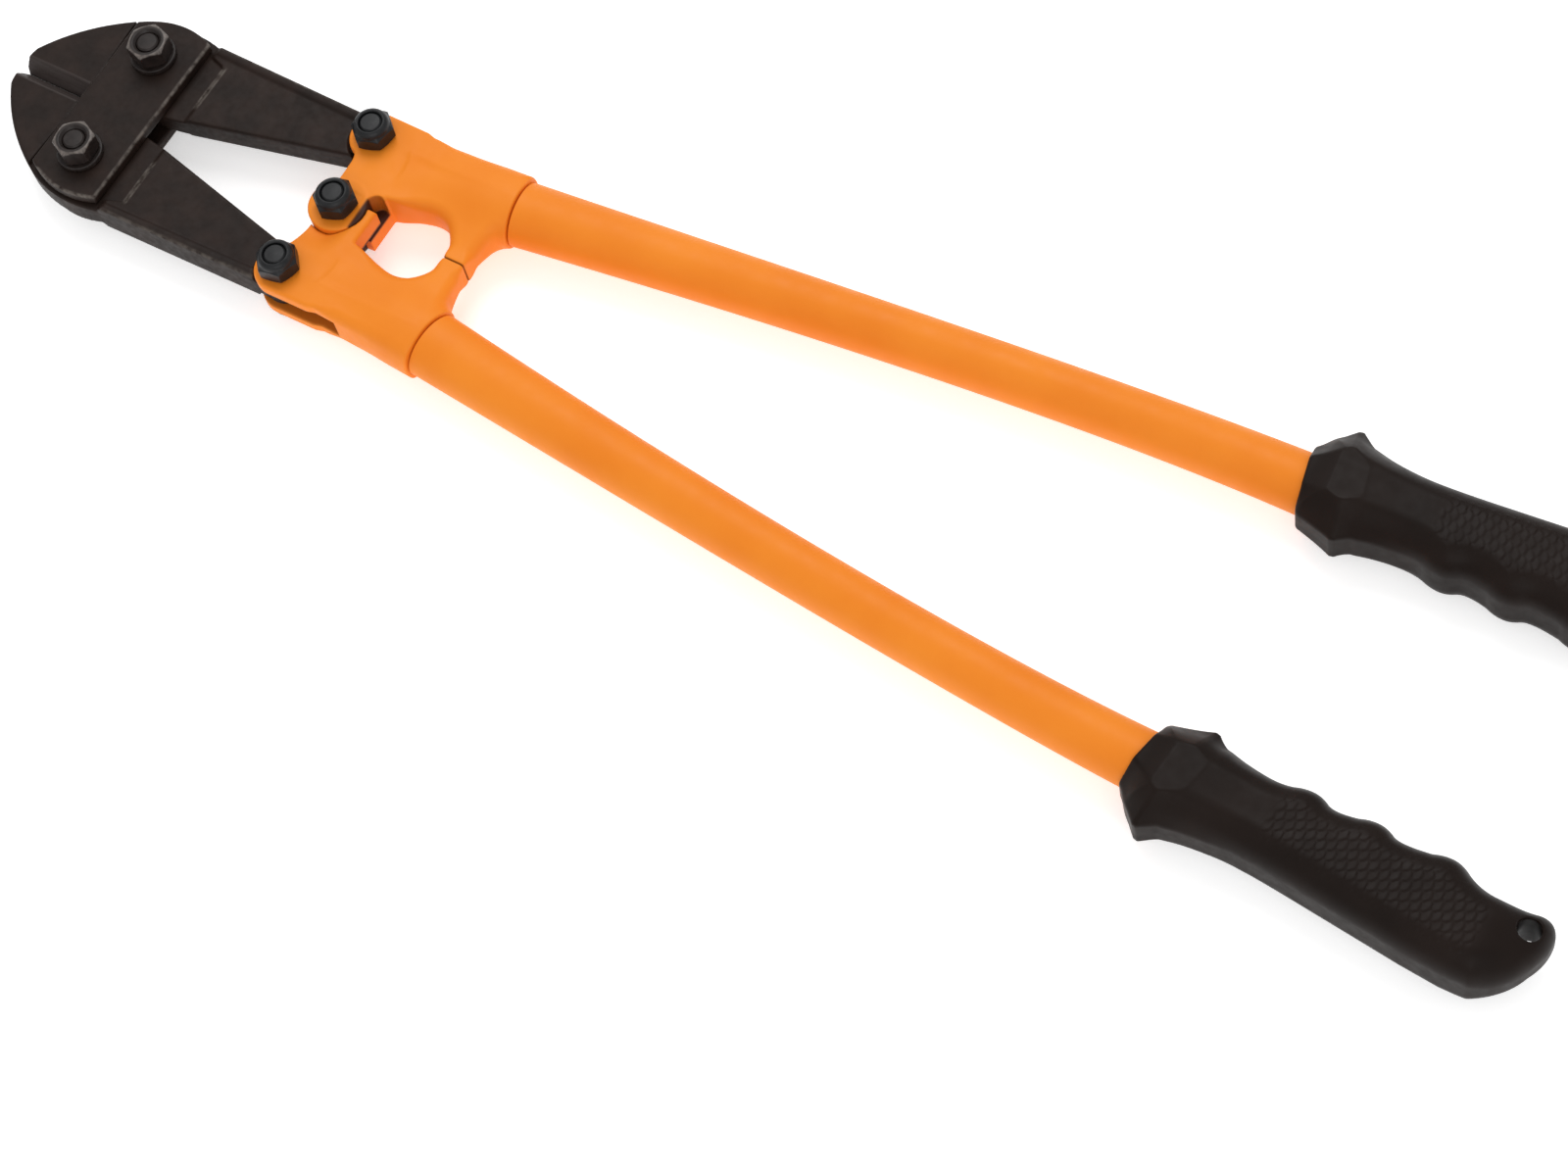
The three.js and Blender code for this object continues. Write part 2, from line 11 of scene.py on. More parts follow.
import bpy
import numpy as np
from mathutils import Euler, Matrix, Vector


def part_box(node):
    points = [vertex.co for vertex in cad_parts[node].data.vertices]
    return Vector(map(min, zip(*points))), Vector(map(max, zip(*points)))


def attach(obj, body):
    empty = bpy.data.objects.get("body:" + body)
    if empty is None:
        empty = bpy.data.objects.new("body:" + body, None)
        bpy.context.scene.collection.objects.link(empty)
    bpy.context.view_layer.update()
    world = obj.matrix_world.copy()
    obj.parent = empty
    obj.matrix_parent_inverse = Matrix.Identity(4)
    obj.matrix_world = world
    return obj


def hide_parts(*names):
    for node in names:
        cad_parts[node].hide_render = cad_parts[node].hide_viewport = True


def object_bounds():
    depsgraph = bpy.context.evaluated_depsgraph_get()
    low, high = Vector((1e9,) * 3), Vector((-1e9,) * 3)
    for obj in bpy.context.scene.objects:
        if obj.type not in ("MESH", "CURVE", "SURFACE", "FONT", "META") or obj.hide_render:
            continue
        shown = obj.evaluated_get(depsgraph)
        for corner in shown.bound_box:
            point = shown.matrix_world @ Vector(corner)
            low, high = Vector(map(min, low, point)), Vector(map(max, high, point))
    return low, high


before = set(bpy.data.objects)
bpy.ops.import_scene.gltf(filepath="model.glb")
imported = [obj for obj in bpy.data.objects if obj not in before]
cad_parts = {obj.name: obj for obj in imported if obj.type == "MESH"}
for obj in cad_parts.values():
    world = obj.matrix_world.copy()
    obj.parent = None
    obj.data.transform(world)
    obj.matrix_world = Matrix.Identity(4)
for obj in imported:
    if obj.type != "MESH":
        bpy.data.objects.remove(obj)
CAD_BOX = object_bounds()

# ------------------------------------------------------------------ places taken from the frame

MM = 0.001


def centre(node):
    low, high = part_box(node)
    return (low + high) / 2


HINGE = Vector((*centre("hinge_bolt").xy, centre("upper_tube").z))


def from_hinge(point):
    """A row-frame point in millimetres from the hinge."""
    return (point - HINGE) / MM


def reach(node, side):
    """The lowest (side 0) or highest (side 1) corner of a node, in millimetres from the hinge."""
    return from_hinge(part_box(node)[side])


JAW_PIVOT = from_hinge(centre("upper_jaw_bolt"))
LINK_PIVOT = from_hinge(centre("upper_link_bolt"))
TIP_X = reach("upper_jaw", 0).x
JAW_HALF = reach("upper_jaw", 1).z
PLATE_LOW = reach("front_side_plate", 0).z
PLATE_TOP = reach("front_side_plate", 1).z
PLATE_FRONT_X = reach("front_side_plate", 0).x
PLATE_REAR_X = reach("front_side_plate", 1).x
TUBE_HEIGHT_RADIUS = reach("upper_tube", 1).z
TUBE_END_X = reach("upper_tube", 1).x
GRIP_END_X = reach("upper_grip", 1).x
GRIP_HALF = reach("upper_grip", 1).z

# ------------------------------------------------------------------ driving dimensions

GAP = 0.3                   # between neighbouring pieces

EDGE_END_X = -108           # rear end of the cutting edges
EDGE_Y = 0.04               # half the gap between the closed cutting edges
BEVEL_RISE = 4.2            # width of the ground bevel beside a cutting edge
RECESS_FLOOR = PLATE_LOW - GAP
RECESS_REAR_X = -70         # rear end of the seat that the side plates lie in
SEAT_WALL_WIDTH = 2.4       # the seat's rear wall slopes by this much,
SEAT_RIM_Y = 29.5           # and beyond this it comes forward to the side plate
SEAT_LEAN = 0.05            # slope of the seat's front wall
EDGE_LAND = 0.3             # half thickness of a cutting edge's flat
ARM_POCKET_DEPTH = 0.5      # of the shallow panel in an arm's face
TANG_HALF = 3.6
TANG_RADIUS = 7.5
SHOULDER_RADIUS = 10.0      # hollow end of a jaw's arm, round the link pivot
OPENED_HOLE_RADIUS = 7.1    # in the upper jaw, where the linkage is opened

KNUCKLE_HALF = reach("hinge_nut", 0).z - GAP
WEB_HALF = 7.2              # half thickness of a knuckle's web
LOBE_HALF = 5.4             # and of its stop lobe
STOP_Y = 0.12               # half the gap between the stop lobes
LOBE_START_X = 30
FORK_FOOT_Y = 28.5          # where a knuckle's face drops from the fork to the web
SLOT_HALF = TANG_HALF + GAP
EAR_RADIUS = 9.2
LUG_RADIUS = 10.2
LUG_POCKET_RADIUS = 10.5
LUG_STEP = 2.4              # the other knuckle's lug stands this far above the face beside it,
LUG_STEP_REACH = 20.5       # and the face is back at its full height this far from the hinge
SHOULDER_X = 13.2           # outside of the shoulder that wraps round the other knuckle's lug

BOLT_HOLE_RADIUS = 4.25
BOLT_RADIUS = 3.95
BOLT_HEAD = 5.3
WASHER_RADIUS = 8.0
THREAD_PITCH = 1.25
THREAD_LENGTH = 9
HEX_FLATS = 13

SEAM = (54, 27.8)           # where a tube meets its knuckle
TUBE_BEND = (246, 50.7)
TUBE_KNEE = (329, 52.4)
TUBE_END_Y = 56.5
TUBE_SLOPE = math.atan2(TUBE_BEND[1] - SEAM[1], TUBE_BEND[0] - SEAM[0])
TUBE_WALL = 1.8
SEAM_RADIUS = 11.6
WAIST_X = 238
WAIST_RADIUS = 9.1
KNEE_RADIUS = 10.0
SHOULDER_LIP = 0.8          # the knuckle's end stands this much above the tube
SOCKET_LENGTH = 40          # round end of a knuckle, in front of the seam
SOCKET_TAPER = 3.6
SPIGOT = (-2, 24)           # start and end of a knuckle's spigot, along the tube from the seam

GRIP_FRONT = (329, 51.7)
COLLAR_TILT = 0.22
COLLAR_SHIFT = 0.5          # its ridge is this much further out than its mouth
COLLAR_RIDGE = 13.5         # from its mouth to the rear of its ridge
COLLAR_TAIL = 40            # and to the end of its tail, inside the grip
RIDGES_X = (379, 400, 423.5)
RIDGE_Y = 40.2
POMMEL_HALF = 11.0          # half thickness of a grip's round end
GRIP_ROUNDING = 9.0
HANG_HOLE = (452, 51.5)
HANG_HOLE_RADIUS = 3.6
SCALE_LENGTH = 4.6          # moulded scales on both faces of a grip
SCALE_WIDTH = 2.1
SCALE_HEIGHT = 0.22
SCALE_SLANT = 0.35

FINE = 0.5     # cell of the distance fields' meshes


# ------------------------------------------------------------------ outlines

class Outline:
    """A closed outline drawn with straight and curved strokes."""

    def __init__(self, x, y):
        self.points = [(x, y)]

    def line(self, x, y):
        self.points.append((x, y))
        return self

    def curve(self, control_x, control_y, x, y, steps=12):
        """Quadratic curve from the last point."""
        start_x, start_y = self.points[-1]
        for i in range(1, steps + 1):
            t = i / steps
            a, b, c = (1 - t) ** 2, 2 * t * (1 - t), t * t
            self.points.append((a * start_x + b * control_x + c * x,
                                a * start_y + b * control_y + c * y))
        return self

    def arc(self, middle_x, middle_y, radius, start, end, steps=16):
        for i in range(steps + 1):
            angle = start + (end - start) * i / steps
            self.points.append((middle_x + radius * math.cos(angle),
                                middle_y + radius * math.sin(angle)))
        return self


# ------------------------------------------------------------------ distance fields

def inside_outline(outline, x, y):
    """Signed distance to a closed outline, negative inside it."""
    x, y = np.broadcast_arrays(x, y)
    nearest = np.full(x.shape, np.inf)
    inside = np.zeros(x.shape, bool)
    points = outline.points
    for (ax, ay), (bx, by) in zip(points, points[1:] + points[:1]):
        ex, ey = bx - ax, by - ay
        length = ex * ex + ey * ey
        if length == 0:
            continue
        t = np.clip(((x - ax) * ex + (y - ay) * ey) / length, 0, 1)
        nearest = np.minimum(nearest, (x - ax - t * ex) ** 2 + (y - ay - t * ey) ** 2)
        if ay != by:
            crosses = ((ay > y) != (by > y)) & (x < ax + (y - ay) * ex / ey)
            inside ^= crosses
    return np.where(inside, -1, 1) * np.sqrt(nearest)


def extrude(flat, z, half, rounding):
    """Slab of a flat field, `half` thick each way, with both rims rounded."""
    side = flat + rounding
    end = np.abs(z) - half + rounding
    outside = np.hypot(np.maximum(side, 0), np.maximum(end, 0))
    return np.minimum(np.maximum(side, end), 0) + outside - rounding


def join(a, b, fillet=0.0):
    if not fillet:
        return np.minimum(a, b)
    blend = np.maximum(fillet - np.abs(a - b), 0) / fillet
    return np.minimum(a, b) - blend * blend * fillet / 4


def common(a, b, rounding=0.0):
    return -join(-a, -b, rounding)


def cut(a, b, rounding=0.0):
    return common(a, -b, rounding)


def smooth_step(value):
    t = np.clip(value, 0, 1)
    return t * t * (3 - 2 * t)


def disc(x, y, middle, radius):
    return np.hypot(x - middle[0], y - middle[1]) - radius


def turned_frame(x, y, middle, angle):
    """Distance along and across a line through a point, turned by an angle from the X axis."""
    along = (x - middle[0]) * math.cos(angle) + (y - middle[1]) * math.sin(angle)
    across = (y - middle[1]) * math.cos(angle) - (x - middle[0]) * math.sin(angle)
    return along, across


# Corners of a cell and the pairs of them that its twelve edges join.
CORNERS = np.array([(i, j, k) for i in (0, 1) for j in (0, 1) for k in (0, 1)])
CELL_EDGES = [(a, b) for a in range(8) for b in range(a + 1, 8)
              if np.abs(CORNERS[a] - CORNERS[b]).sum() == 1]


def surface(field, low, high, step):
    """Vertices and quads of the surface where `field` is zero, one vertex in each cell it crosses."""
    axes = [np.arange(a - 2 * step, b + 3 * step, step) for a, b in zip(low, high)]
    x, y, z = np.ix_(*axes)
    shape = tuple(len(axis) for axis in axes)
    value = np.broadcast_to(field(x, y, z), shape)
    inside = value < 0
    cells = tuple(n - 1 for n in shape)

    def corner(array, offset):
        i, j, k = offset
        return array[i:i + cells[0], j:j + cells[1], k:k + cells[2]]

    count = sum(corner(inside, offset).astype(np.int8) for offset in CORNERS)
    active = (count > 0) & (count < 8)
    place = np.argwhere(active)
    index = np.full(cells, -1)
    index[active] = np.arange(len(place))

    total = np.zeros(place.shape)
    crossings = np.zeros(len(place))
    for a, b in CELL_EDGES:
        value_a = corner(value, CORNERS[a])[active]
        value_b = corner(value, CORNERS[b])[active]
        crossed = (value_a < 0) != (value_b < 0)
        share = np.where(crossed, value_a / np.where(crossed, value_a - value_b, 1), 0)
        point = CORNERS[a] + share[:, None] * (CORNERS[b] - CORNERS[a])
        total += np.where(crossed[:, None], point, 0)
        crossings += crossed
    start = np.array([axis[0] for axis in axes])
    vertices = start + (place + total / crossings[:, None]) * step
    vertices = settle(field, vertices, step)

    quads = []
    for axis in range(3):
        first, second = (axis + 1) % 3, (axis + 2) % 3
        here = [slice(1, -1)] * 3
        here[axis] = slice(0, -1)
        ahead = list(here)
        ahead[axis] = slice(1, None)
        a, b = inside[tuple(here)], inside[tuple(ahead)]
        edges = np.argwhere(a != b)
        outward = a[a != b]
        edges[:, first] += 1
        edges[:, second] += 1

        def cell(back_first, back_second):
            at = edges.copy()
            at[:, first] -= back_first
            at[:, second] -= back_second
            return index[tuple(at.T)]

        around = np.stack([cell(1, 1), cell(0, 1), cell(0, 0), cell(1, 0)], 1)
        around[~outward] = around[~outward][:, ::-1]
        quads.append(around)
    return vertices, np.concatenate(quads)


def settle(field, points, step, rounds=3):
    """Moves points onto the zero of the field, by less than a cell."""
    start = points.copy()
    small = 0.04
    for _ in range(rounds):
        value = field(*points.T)
        slope = np.stack([
            (field(*(points + offset).T) - field(*(points - offset).T)) / (2 * small)
            for offset in np.eye(3) * small], 1)
        size = np.maximum((slope ** 2).sum(1), 0.2)
        points = points - slope * (value / size)[:, None]
        points = start + np.clip(points - start, -0.45 * step, 0.45 * step)
    return points


# ------------------------------------------------------------------ pieces

def in_row_frame(points, turned_over):
    """Millimetres from the hinge to metres in the row frame, turned over for the lower half."""
    flip = np.array((1, -1, -1) if turned_over else (1, 1, 1))
    return np.asarray(points) * flip * MM + np.array(HINGE)


def add_piece(node, points, faces, body, material, turned_over=False, sharp=None):
    mesh = bpy.data.meshes.new(f"{node}_finished")
    mesh.from_pydata(in_row_frame(points, turned_over).tolist(), [], [list(map(int, f)) for f in faces])
    mesh.validate()
    mesh.shade_smooth()
    if sharp:
        mesh.set_sharp_from_angle(angle=math.radians(sharp))
    mesh.materials.append(material)
    piece = bpy.data.objects.new(f"{node}_finished", mesh)
    bpy.context.scene.collection.objects.link(piece)
    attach(piece, body)
    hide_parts(node)
    return piece


def mark(piece, name, values):
    """Stores a number from 0 to 1 at each vertex, which the materials read by name."""
    attribute = piece.data.attributes.new(name, "FLOAT", "POINT")
    attribute.data.foreach_set("value", np.clip(values, 0, 1).astype(np.float32))


def ring_grid(rings, closed):
    """Quads through rings of points. Closed joins the last ring to the first, or both get a cap."""
    rings = np.asarray(rings)
    count, around = rings.shape[:2]
    points = rings.reshape(-1, 3)
    faces = []
    for i in range(count if closed else count - 1):
        following = (i + 1) % count
        for j in range(around):
            beside = (j + 1) % around
            faces.append((i * around + j, i * around + beside,
                          following * around + beside, following * around + j))
    if not closed:
        ends = [rings[0].mean(0), rings[-1].mean(0)]
        points = np.vstack([points, ends])
        first, last = len(points) - 2, len(points) - 1
        top = (count - 1) * around
        for j in range(around):
            beside = (j + 1) % around
            faces.append((first, beside, j))
            faces.append((last, top + j, top + beside))
    return points, faces


def near_rim(flat, below_face, width):
    """1 on the rim between a slab's side and its face, 0 from `width` away."""
    return np.clip(1 + flat / width, 0, 1) * np.clip(1 - below_face / width, 0, 1)


# ------------------------------------------------------------------ jaws

def jaw_outline():
    return (Outline(TIP_X + 1.2, EDGE_Y)
            .line(EDGE_END_X, EDGE_Y)
            .line(EDGE_END_X + 6, 2.0)
            .line(JAW_PIVOT.x, 2.3)
            .line(-71.5, 5.6)
            .arc(LINK_PIVOT.x, LINK_PIVOT.y, SHOULDER_RADIUS, math.pi + 1.08, math.pi - 0.76)
            .line(-76, 36.6)
            .curve(-92, 40.6, -106, 34)
            .curve(-124.4, 23.8, TIP_X + 0.8, 8)
            .curve(TIP_X, 6, TIP_X, 1.6, 4))


def tang_outline():
    return (Outline(-19, 21.2)
            .arc(LINK_PIVOT.x, LINK_PIVOT.y, TANG_RADIUS, -math.pi * 0.6, math.pi * 0.6)
            .line(-19, 35.2))


JAW_OUTLINE = jaw_outline()
TANG_OUTLINE = tang_outline()
ARM_POCKET = Outline(-80, 2).line(-10, 17).line(-10, 31.5).line(-80, 33)


def jaw_field(bolt_hole_radius):
    def field(x, y, z):
        height = np.abs(z)
        body = extrude(inside_outline(JAW_OUTLINE, x, y), z, JAW_HALF, 0.9)
        pocket = np.maximum(inside_outline(ARM_POCKET, x, y), JAW_HALF - ARM_POCKET_DEPTH - height)
        body = cut(body, pocket, 2.0)
        tang = extrude(inside_outline(TANG_OUTLINE, x, y), z, TANG_HALF, 0.6)
        body = join(body, tang, 0.8)
        lean = np.clip(y, 0, 45) * SEAT_LEAN
        wall_rise = (height - RECESS_FLOOR) / (JAW_HALF - RECESS_FLOOR) * SEAT_WALL_WIDTH
        to_plate = (RECESS_REAR_X - PLATE_REAR_X - 0.8) * smooth_step((y - SEAT_RIM_Y) / 3)
        rear_wall = RECESS_REAR_X + wall_rise - to_plate
        seat_side = np.maximum(PLATE_FRONT_X - GAP - lean - x, x - rear_wall)
        body = cut(body, np.maximum(seat_side, RECESS_FLOOR - height), 0.4)
        slope = math.hypot(BEVEL_RISE, JAW_HALF)
        above_bevel = ((y - EDGE_Y) * JAW_HALF - (height - EDGE_LAND) * BEVEL_RISE) / slope
        body = cut(body, np.maximum(above_bevel, x - EDGE_END_X), 0.3)
        body = cut(body, disc(x, y, JAW_PIVOT, bolt_hole_radius), 0.3)
        return cut(body, disc(x, y, LINK_PIVOT, BOLT_HOLE_RADIUS), 0.3)
    return field


def add_jaws(material):
    low = (TIP_X, 0, -JAW_HALF)
    high = (LINK_PIVOT.x + TANG_RADIUS, 39, JAW_HALF)
    for side, hole in (("upper", OPENED_HOLE_RADIUS), ("lower", BOLT_HOLE_RADIUS)):
        points, faces = surface(jaw_field(hole), low, high, FINE)
        piece = add_piece(f"{side}_jaw", points, faces, f"{side}_jaw_arm", material,
                          turned_over=side == "lower")
        x, y, z = points.T
        ground = (x < EDGE_END_X) & (y < EDGE_Y + BEVEL_RISE * (np.abs(z) + 0.4) / JAW_HALF)
        mark(piece, "ground", ground)
        # Rims are painted lighter, partly as edge wear and partly as painted highlight; the seat's sloped
        # rear wall gets a painted highlight.
        rim = near_rim(inside_outline(JAW_OUTLINE, x, y), JAW_HALF - np.abs(z), 1.1)
        seat_wall = (np.abs(x - RECESS_REAR_X - 0.8) < 1.2) & (np.abs(z) < JAW_HALF - 0.2)
        lit_wall = seat_wall * smooth_step((y - 11) / 3) * smooth_step((31 - y) / 2)
        mark(piece, "wear_and_highlight", np.maximum(rim * (x > EDGE_END_X), 0.8 * lit_wall))


# ------------------------------------------------------------------ side plates

PLATE_OUTLINE = (Outline(PLATE_FRONT_X, -31.5)
                 .curve(-92, -40.5, PLATE_REAR_X, -34.5)
                 .line(PLATE_REAR_X, 34.5)
                 .curve(-92, 40.5, PLATE_FRONT_X, 31.5))


def plate_field(x, y, z):
    middle = (PLATE_LOW + PLATE_TOP) / 2
    body = extrude(inside_outline(PLATE_OUTLINE, x, y), z - middle, PLATE_TOP - middle, 0.7)
    for side in (1, -1):
        body = cut(body, disc(x, y, (JAW_PIVOT.x, side * JAW_PIVOT.y), BOLT_HOLE_RADIUS), 0.3)
    return body


def add_plates(material):
    low = (PLATE_FRONT_X, reach("front_side_plate", 0).y, PLATE_LOW)
    high = (PLATE_REAR_X, reach("front_side_plate", 1).y, PLATE_TOP)
    points, faces = surface(plate_field, low, high, FINE)
    for node, turned_over in (("front_side_plate", False), ("rear_side_plate", True)):
        piece = add_piece(node, points, faces, "head_plates", material, turned_over)
        x, y, z = points.T
        mark(piece, "ground", np.zeros(len(points)))
        # painted highlight: the plate's rear edge and lower end are painted lighter
        lit_plate_edge = (x > PLATE_REAR_X - 1.5) | (y < -33)
        mark(piece, "wear_and_highlight", 1.6 * lit_plate_edge * near_rim(inside_outline(PLATE_OUTLINE, x, y), PLATE_TOP - z, 1.1))


# ------------------------------------------------------------------ knuckles

KNUCKLE_OUTLINE = (Outline(-5.6, 6)
                   .line(-5.8, 16.5)
                   .curve(-6.2, 20.3, -8.2, 20.8)
                   .arc(LINK_PIVOT.x, LINK_PIVOT.y, EAR_RADIUS, math.pi * 1.3, math.pi * 0.5)
                   .line(12, 37.6)
                   .line(15, 36.8)
                   .line(29, 37.6)
                   .line(52.4, 38.2)
                   .line(53, 18)
                   .curve(50.2, 11, 49.4, -6)
                   .line(41.8, -6)
                   .line(41.8, 0)
                   .curve(40.2, 7.6, 35.4, 11.4)
                   .curve(31.5, 13.9, 26, 12.4)
                   .line(SHOULDER_X, 9.4)
                   .line(SHOULDER_X, -3.4)
                   .line(8.6, -3.4)
                   .line(6, 6))
NOTCH_OUTLINE = (Outline(8, -6).line(19, -6).line(19, 3.5)
                 .curve(14, 9, 11.2, 9)
                 .curve(9.4, 9, 8, 6))
SLOT_OUTLINE = (Outline(-30, 18.6).line(4, 18.6)
                .curve(12, 19, 17, 27)
                .curve(23.4, 33, 23.4, 50)
                .line(-30, 50))


def face_height(x, y, z):
    """Half thickness of a knuckle: full at the fork, thinner at the web, the lobe and beside the lug."""
    to_web = smooth_step((FORK_FOOT_Y - y) / 3.5) * smooth_step((x - 6) / 14)
    height = KNUCKLE_HALF - (KNUCKLE_HALF - WEB_HALF) * to_web
    to_lobe = smooth_step((x - 22) / 16) * smooth_step((18 - y) / 14)
    height = height - (height - LOBE_HALF) * to_lobe
    beside_lug = smooth_step((LUG_STEP_REACH - np.hypot(x, y)) / 9) * smooth_step((10 - x) / 9)
    return height - LUG_STEP * beside_lug * (z < 0)


def edge_rounding(x, y):
    """Rounding of a knuckle's rims: crisp at the fork, full at the web and the socket."""
    return 1.3 + 2.6 * smooth_step((x - 15) / 9) * smooth_step(y / 5 - 0.2)


def knuckle_field(x, y, z):
    outline = inside_outline(KNUCKLE_OUTLINE, x, y)
    body = extrude(outline, z, face_height(x, y, z), edge_rounding(x, y))
    body = cut(body, np.maximum(y - STOP_Y, LOBE_START_X - x), 0.5)

    along, across = turned_frame(x, y, SEAM, TUBE_SLOPE)
    shoulder_radius = SEAM_RADIUS + SHOULDER_LIP
    flattening = shoulder_radius / (TUBE_HEIGHT_RADIUS + SHOULDER_LIP)
    around = np.hypot(across, z * flattening)
    narrowing = SOCKET_TAPER * smooth_step((-8 - along) / 28)
    socket = common(around - shoulder_radius + narrowing, along, 0.8)
    socket = np.maximum(socket, -SOCKET_LENGTH - along)
    body = join(body, socket, 4.0)
    body = common(body, along, 0.6)
    spigot_radius = SEAM_RADIUS - TUBE_WALL - 1
    spigot_flattening = spigot_radius / (TUBE_HEIGHT_RADIUS - TUBE_WALL - 0.5)
    spigot = np.hypot(across, z * spigot_flattening) - spigot_radius
    beyond_ends = np.maximum(SPIGOT[0] - along, along - SPIGOT[1])
    body = join(body, np.maximum(spigot, beyond_ends))

    slot = np.maximum(inside_outline(SLOT_OUTLINE, x, y), np.abs(z) - SLOT_HALF)
    body = cut(body, slot, 0.6)
    body = cut(body, np.maximum(inside_outline(NOTCH_OUTLINE, x, y), -GAP / 2 - z), 0.6)
    body = cut(body, np.maximum(disc(x, y, (0, 0), LUG_POCKET_RADIUS), z - GAP / 2), 0.25)
    lug_middle = (GAP / 2 + KNUCKLE_HALF) / 2
    lug = extrude(disc(x, y, (0, 0), LUG_RADIUS), z - lug_middle, KNUCKLE_HALF - lug_middle, 0.4)
    body = join(body, lug, 0.8)
    body = cut(body, disc(x, y, (0, 0), BOLT_HOLE_RADIUS), 0.3)
    return cut(body, disc(x, y, LINK_PIVOT, BOLT_HOLE_RADIUS), 0.3)


def knuckle_painted_shade(x, y, z):
    """Painted shade: darker paint where shade falls, in the fork slot, the relief notch, round the lug and
    between the stop faces.
    """
    slot = np.maximum(inside_outline(SLOT_OUTLINE, x, y), np.abs(z) - SLOT_HALF)
    notch = np.maximum(inside_outline(NOTCH_OUTLINE, x, y), -1.2 - z)
    pocket = np.maximum(disc(x, y, (0, 0), LUG_POCKET_RADIUS + 0.3), z - GAP)
    lug_side = np.maximum(disc(x, y, (0, 0), LUG_RADIUS + 0.3), np.abs(z - 3) - 3)
    stop = np.maximum(y - STOP_Y - 0.4, 41.5 - x)
    return np.max([0.55 * smooth_step(0.7 - slot), smooth_step(0.5 - notch), 0.2 * (pocket < 0),
                   0.2 * (lug_side < 0), 0.6 * (stop < 0)], 0)


def add_knuckles(material):
    low = (LINK_PIVOT.x - EAR_RADIUS, -LUG_RADIUS, -SEAM_RADIUS)
    high = (SEAM[0] + SPIGOT[1] + 2, 41, SEAM_RADIUS)
    points, faces = surface(knuckle_field, low, high, FINE)
    for side in ("upper", "lower"):
        piece = add_piece(f"{side}_knuckle", points, faces, f"{side}_handle",
                          material, turned_over=side == "lower")
        # painted shade in the knuckle's slot, notch, lug seam and stop gap
        mark(piece, "painted_shade", knuckle_painted_shade(*points.T))


# ------------------------------------------------------------------ tubes

def tube_half_width(x):
    """Wide at the knuckle, narrow in the middle, a little wider at the grip."""
    away = min(x, TUBE_KNEE[0]) - WAIST_X
    if away < 0:
        return WAIST_RADIUS + (SEAM_RADIUS - WAIST_RADIUS) * (away / (SEAM[0] - WAIST_X)) ** 2
    return WAIST_RADIUS + (KNEE_RADIUS - WAIST_RADIUS) * (away / (TUBE_KNEE[0] - WAIST_X)) ** 2


def tube_route():
    """Points along the tube's axis: one bend from the seam to the knee, then straight."""
    route = Outline(*SEAM).curve(*TUBE_BEND, *TUBE_KNEE, steps=64)
    for i in range(1, 13):
        share = i / 12
        route.line(TUBE_KNEE[0] + (TUBE_END_X - TUBE_KNEE[0]) * share,
                   TUBE_KNEE[1] + (TUBE_END_Y - TUBE_KNEE[1]) * share)
    return np.array(route.points)


def add_tubes(material):
    route = tube_route()
    heading = np.gradient(route, axis=0)
    heading /= np.linalg.norm(heading, axis=1)[:, None]
    route[0] += heading[0] * GAP
    angles = np.linspace(0, 2 * math.pi, 64, endpoint=False)

    def ring(i, inset):
        x, y = route[i]
        out_x, out_y = -heading[i][1], heading[i][0]
        width = (tube_half_width(x) - inset) * np.cos(angles)
        height = (TUBE_HEIGHT_RADIUS - inset) * np.sin(angles)
        return np.stack([x + out_x * width, y + out_y * width, height], 1)

    last = len(route) - 1
    outer = [ring(i, 0) for i in range(len(route))]
    inner = [ring(i, TUBE_WALL) for i in range(last, -1, -1)]
    nose = [ring(0, TUBE_WALL / 2), ring(0, 0.5)]
    outer[0] = outer[0] + np.append(heading[0] * 0.4, 0)
    points, faces = ring_grid(nose + outer + inner, closed=True)
    faces = [tuple(reversed(face)) for face in faces]
    for side in ("upper", "lower"):
        piece = add_piece(f"{side}_tube", points, faces, f"{side}_handle", material,
                          turned_over=side == "lower", sharp=50)
        # the tubes get no painted shade
        mark(piece, "painted_shade", np.zeros(len(points)))


# ------------------------------------------------------------------ grips

def grip_outline():
    """Finger side from the collar to the round end, then back along the outer side."""
    outline = Outline(333, 42.5).line(352, 41.4).curve(366, 43.4, 373, 41.4)
    for i, ridge_x in enumerate(RIDGES_X):
        ridge_y = RIDGE_Y + 0.2 * i
        outline.curve(ridge_x - 3, ridge_y, ridge_x, ridge_y, 6)
        outline.curve(ridge_x + 2.8, ridge_y, ridge_x + 5.6, ridge_y + 1.7, 6)
        if i < len(RIDGES_X) - 1:
            outline.curve(ridge_x + 8, ridge_y + 3.1, RIDGES_X[i + 1] - 6, ridge_y + 1.5)
    return (outline
            .curve(434, 45.6, 440, 45.6)
            .curve(446, 45.6, 452, 44.2)
            .curve(457.5, 43.4, 459, 48.4)
            .curve(GRIP_END_X + 0.3, 54, 456.6, 60)
            .curve(453, 69.4, 443.5, 73.4)
            .line(435, 73.7)
            .line(422, 72.8)
            .line(386, 69.2)
            .curve(360, 66.6, 345, 67.4)
            .line(333, 66))


GRIP_OUTLINE = grip_outline()


